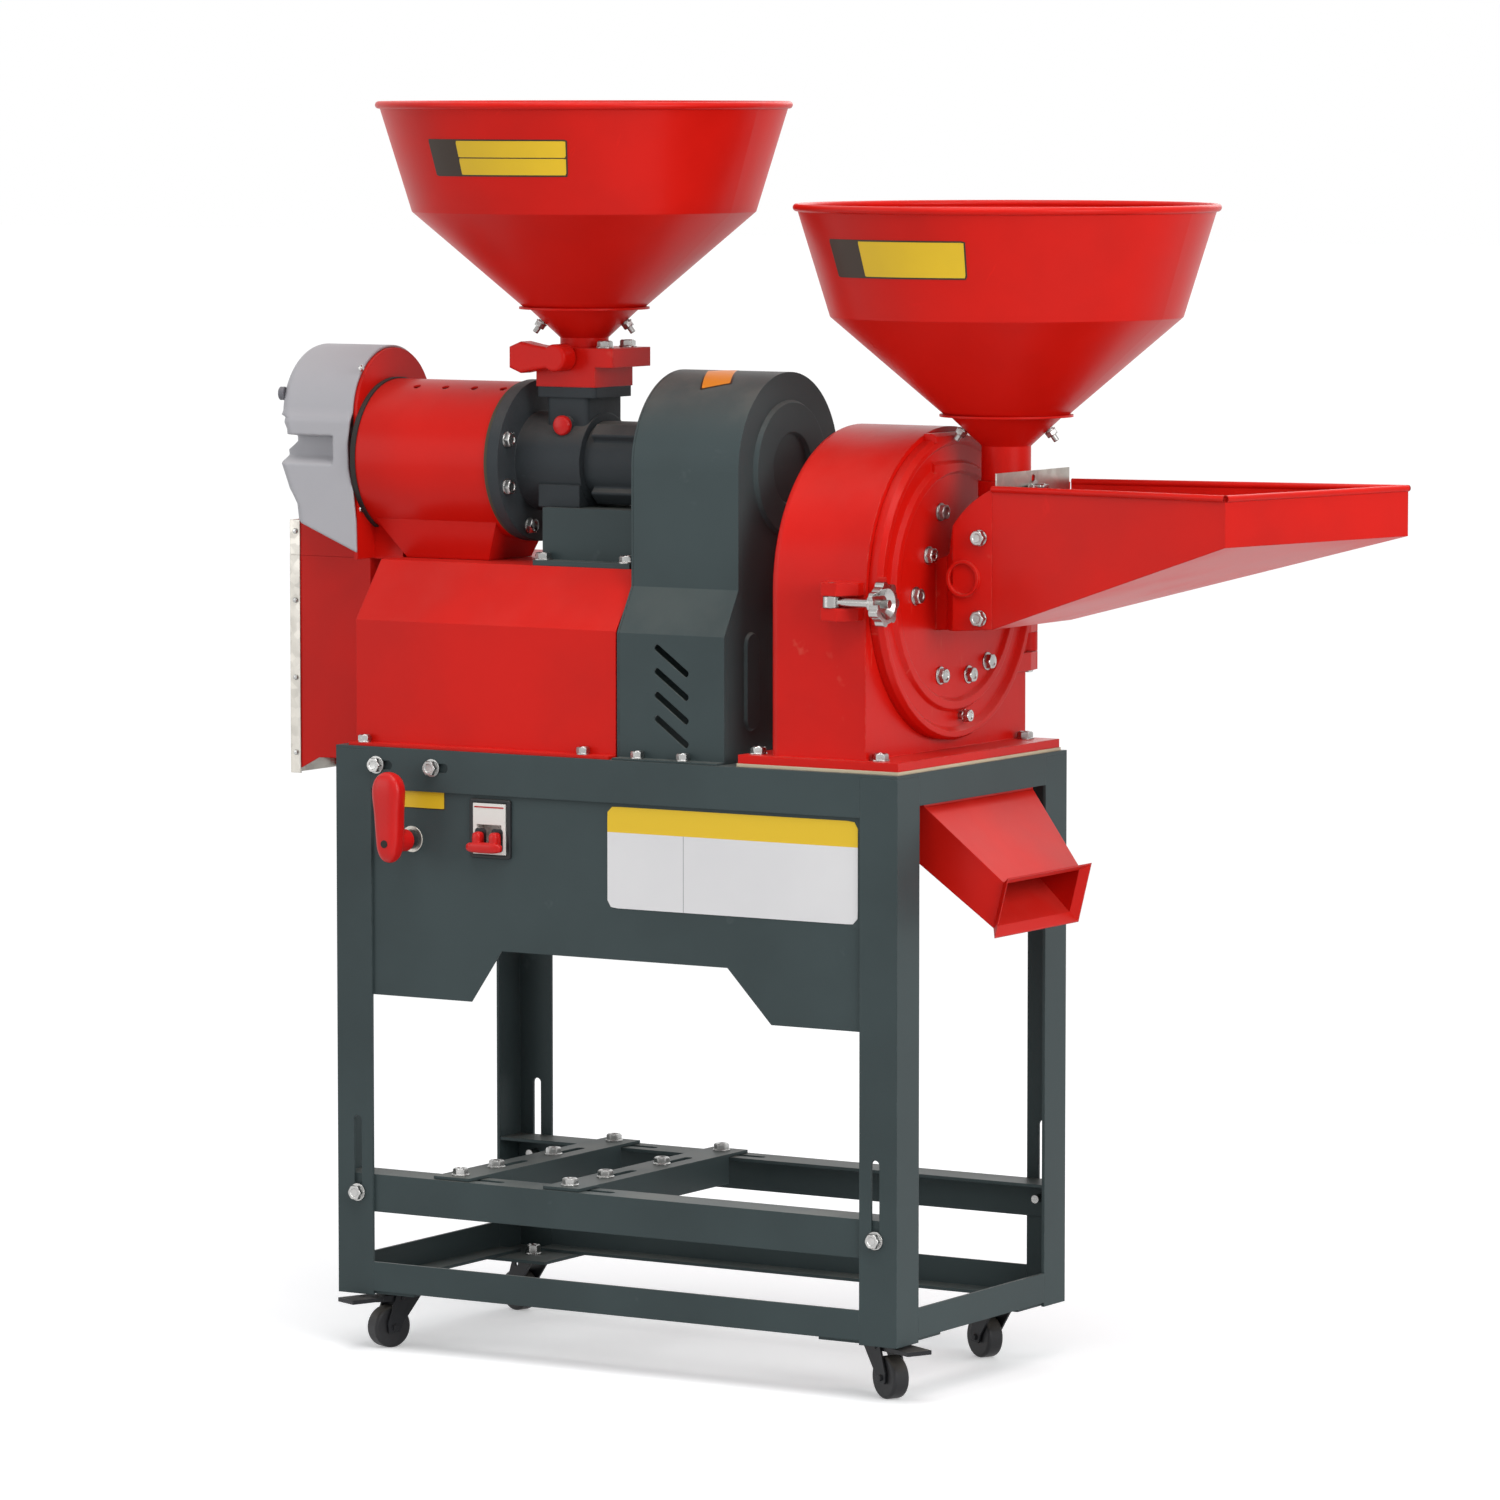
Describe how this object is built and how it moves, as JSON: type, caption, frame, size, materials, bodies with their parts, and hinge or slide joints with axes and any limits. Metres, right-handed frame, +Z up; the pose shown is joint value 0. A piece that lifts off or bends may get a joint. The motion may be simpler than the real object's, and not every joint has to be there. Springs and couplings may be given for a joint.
{
  "type": "rice huller",
  "caption": "Combined rice huller and disc crusher on an angle-iron stand with casters, with two round hoppers, a feed tray, a belt guard and a discharge chute.",
  "frame": {"origin": "on the floor, under the middle of the whole machine's box at rest", "axes": "+Z up, -Y the front with the switch, +X towards the crusher and its feed tray"},
  "size_m": [1.0994, 0.436, 1.19],
  "materials": {
    "red_paint": "semi-gloss powder coat",
    "red_cast": "gloss enamel over a casting",
    "grey_paint": "semi-matt powder coat",
    "dark_cast": "dark enamel over a sand casting",
    "raw_cast": "machined grey iron",
    "steel": "turned",
    "zinc": "zinc plated",
    "galvanised": "galvanised sheet",
    "chrome": "polished",
    "hood_plastic": "light grey, semi-matt",
    "red_plastic": "moulded",
    "white_plastic": "moulded",
    "black_plastic": "moulded",
    "black_steel": "black coating",
    "nylon": "moulded nylon",
    "gasket": "cream fibre sheet"
  },
  "bodies": {
    "frame": {"stand_legs": "grey_paint", "stand_rails": "grey_paint", "front_panel": "grey_paint", "frame_bolts": "zinc", "mill_base": "red_paint", "mill_saddle": "grey_paint", "belt_guard": "grey_paint", "guard_back_plate": "grey_paint", "switch_body": "black_plastic", "breaker_body": "white_plastic", "breaker_bezel": "black_plastic", "crusher_gasket": "gasket", "crusher_housing": "red_cast", "crusher_screen": "steel", "discharge_chute": "red_paint", "mill_housing": "dark_cast", "bearing_housing": "dark_cast", "barrel_cover": "red_paint", "mill_screen": "steel", "gate_block": "red_cast", "mill_collar": "red_paint", "mill_hopper": "red_paint", "outlet_plate": "red_paint", "outlet_hood": "hood_plastic", "wind_duct": "red_paint", "duct_cover": "galvanised"},
    "motor_frame": {"motor_rails": "grey_paint", "motor_rail_bolts": "zinc"},
    "motor_cross": {"cross_rails": "grey_paint", "cross_rail_bolts": "zinc"},
    "main_switch": {"switch_handle": "red_plastic"},
    "breaker": {"breaker_toggle": "red_plastic"},
    "mill_spindle": {"mill_shaft": "steel", "feed_screw": "raw_cast", "milling_roller": "raw_cast", "mill_pulley": "raw_cast"},
    "gate_handle": {"mill_gate": "red_cast"},
    "outlet_gate": {"outlet_flap": "steel"},
    "crusher_spindle": {"crusher_shaft": "steel", "crusher_rotor": "raw_cast", "crusher_pulley": "raw_cast"},
    "door": {"crusher_door": "red_cast", "door_bolts": "zinc", "tooth_ring": "raw_cast", "feed_tray": "red_paint", "feed_collar": "red_paint", "crusher_hopper": "red_paint"},
    "tray_gate": {"gate_plate": "galvanised"},
    "clamp": {"clamp_bolt": "chrome"},
    "knob": {"clamp_knob": "chrome"},
    "fork_front_left": {"caster_fork_front_left": "black_steel"},
    "wheel_front_left": {"caster_wheel_front_left": "nylon"},
    "brake_front_left": {"brake_pedal_front_left": "black_steel"},
    "fork_front_right": {"caster_fork_front_right": "black_steel"},
    "wheel_front_right": {"caster_wheel_front_right": "nylon"},
    "brake_front_right": {"brake_pedal_front_right": "black_steel"},
    "fork_back_right": {"caster_fork_back_right": "black_steel"},
    "wheel_back_right": {"caster_wheel_back_right": "nylon"},
    "fork_back_left": {"caster_fork_back_left": "black_steel"},
    "wheel_back_left": {"caster_wheel_back_left": "nylon"}
  },
  "joints": [
    {"name": "motor_frame_lift", "type": "slide", "parent": "frame", "child": "motor_frame", "axis": [0, 0, 1], "range_m": [0, 0.065]},
    {"name": "motor_cross_slide", "type": "slide", "parent": "motor_frame", "child": "motor_cross", "axis": [1, 0, 0], "range_m": [0, 0.045]},
    {"name": "switch_turn", "type": "hinge", "parent": "frame", "child": "main_switch", "pos_m": [-0.346, -0.151, 0.494], "axis": [0, 1, 0], "range_deg": [-45, 45]},
    {"name": "breaker_throw", "type": "hinge", "parent": "frame", "child": "breaker", "pos_m": [-0.256, -0.147, 0.5025], "axis": [1, 0, 0], "range_deg": [-40, 0]},
    {"name": "mill_spin", "type": "hinge", "parent": "frame", "child": "mill_spindle", "pos_m": [-0.121, -0.0205, 0.849], "axis": [1, 0, 0], "continuous": true},
    {"name": "gate_turn", "type": "hinge", "parent": "frame", "child": "gate_handle", "pos_m": [-0.233, -0.0205, 0.949], "axis": [0, 1, 0], "range_deg": [-90, 0]},
    {"name": "outlet_flap_swing", "type": "hinge", "parent": "frame", "child": "outlet_gate", "pos_m": [-0.4588, -0.0205, 0.893], "axis": [0, 1, 0], "range_deg": [0, 35]},
    {"name": "crusher_spin", "type": "hinge", "parent": "frame", "child": "crusher_spindle", "pos_m": [0.064, 0.0105, 0.743], "axis": [1, 0, 0], "continuous": true},
    {"name": "door_swing", "type": "hinge", "parent": "frame", "child": "door", "pos_m": [0.143, 0.1705, 0.743], "axis": [0, 0, 1], "range_deg": [0, 110]},
    {"name": "tray_gate_slide", "type": "slide", "parent": "door", "child": "tray_gate", "axis": [0, 0, 1], "range_m": [-0.008, 0.02]},
    {"name": "clamp_swing", "type": "hinge", "parent": "frame", "child": "clamp", "pos_m": [0.122, -0.1555, 0.737], "axis": [0, 0, 1], "range_deg": [-75, 22]},
    {"name": "knob_spin", "type": "hinge", "parent": "clamp", "child": "knob", "pos_m": [0.172, -0.1555, 0.737], "axis": [1, 0, 0], "continuous": true},
    {"name": "swivel_front_left", "type": "hinge", "parent": "frame", "child": "fork_front_left", "pos_m": [-0.384, -0.104, 0.054], "axis": [0, 0, 1], "continuous": true},
    {"name": "roll_front_left", "type": "hinge", "parent": "fork_front_left", "child": "wheel_front_left", "pos_m": [-0.3921, -0.12337, 0.02], "axis": [-0.9225, 0.3859, 0], "continuous": true},
    {"name": "brake_press_front_left", "type": "hinge", "parent": "fork_front_left", "child": "brake_front_left", "pos_m": [-0.38863, -0.11507, 0.0477], "axis": [0.9225, -0.3859, 0], "range_deg": [0, 12]},
    {"name": "swivel_front_right", "type": "hinge", "parent": "frame", "child": "fork_front_right", "pos_m": [0.142, -0.104, 0.054], "axis": [0, 0, 1], "continuous": true},
    {"name": "roll_front_right", "type": "hinge", "parent": "fork_front_right", "child": "wheel_front_right", "pos_m": [0.16076, -0.11344, 0.02], "axis": [-0.4493, -0.8934, 0], "continuous": true},
    {"name": "brake_press_front_right", "type": "hinge", "parent": "fork_front_right", "child": "brake_front_right", "pos_m": [0.15272, -0.10939, 0.0477], "axis": [0.4493, 0.8934, 0], "range_deg": [0, 12]},
    {"name": "swivel_back_right", "type": "hinge", "parent": "frame", "child": "fork_back_right", "pos_m": [0.142, 0.117, 0.054], "axis": [0, 0, 1], "continuous": true},
    {"name": "roll_back_right", "type": "hinge", "parent": "fork_back_right", "child": "wheel_back_right", "pos_m": [0.12324, 0.12644, 0.02], "axis": [0.4493, 0.8934, 0], "continuous": true},
    {"name": "swivel_back_left", "type": "hinge", "parent": "frame", "child": "fork_back_left", "pos_m": [-0.384, 0.117, 0.054], "axis": [0, 0, 1], "continuous": true},
    {"name": "roll_back_left", "type": "hinge", "parent": "fork_back_left", "child": "wheel_back_left", "pos_m": [-0.40397, 0.12349, 0.02], "axis": [0.309, 0.9511, 0], "continuous": true}
  ]
}
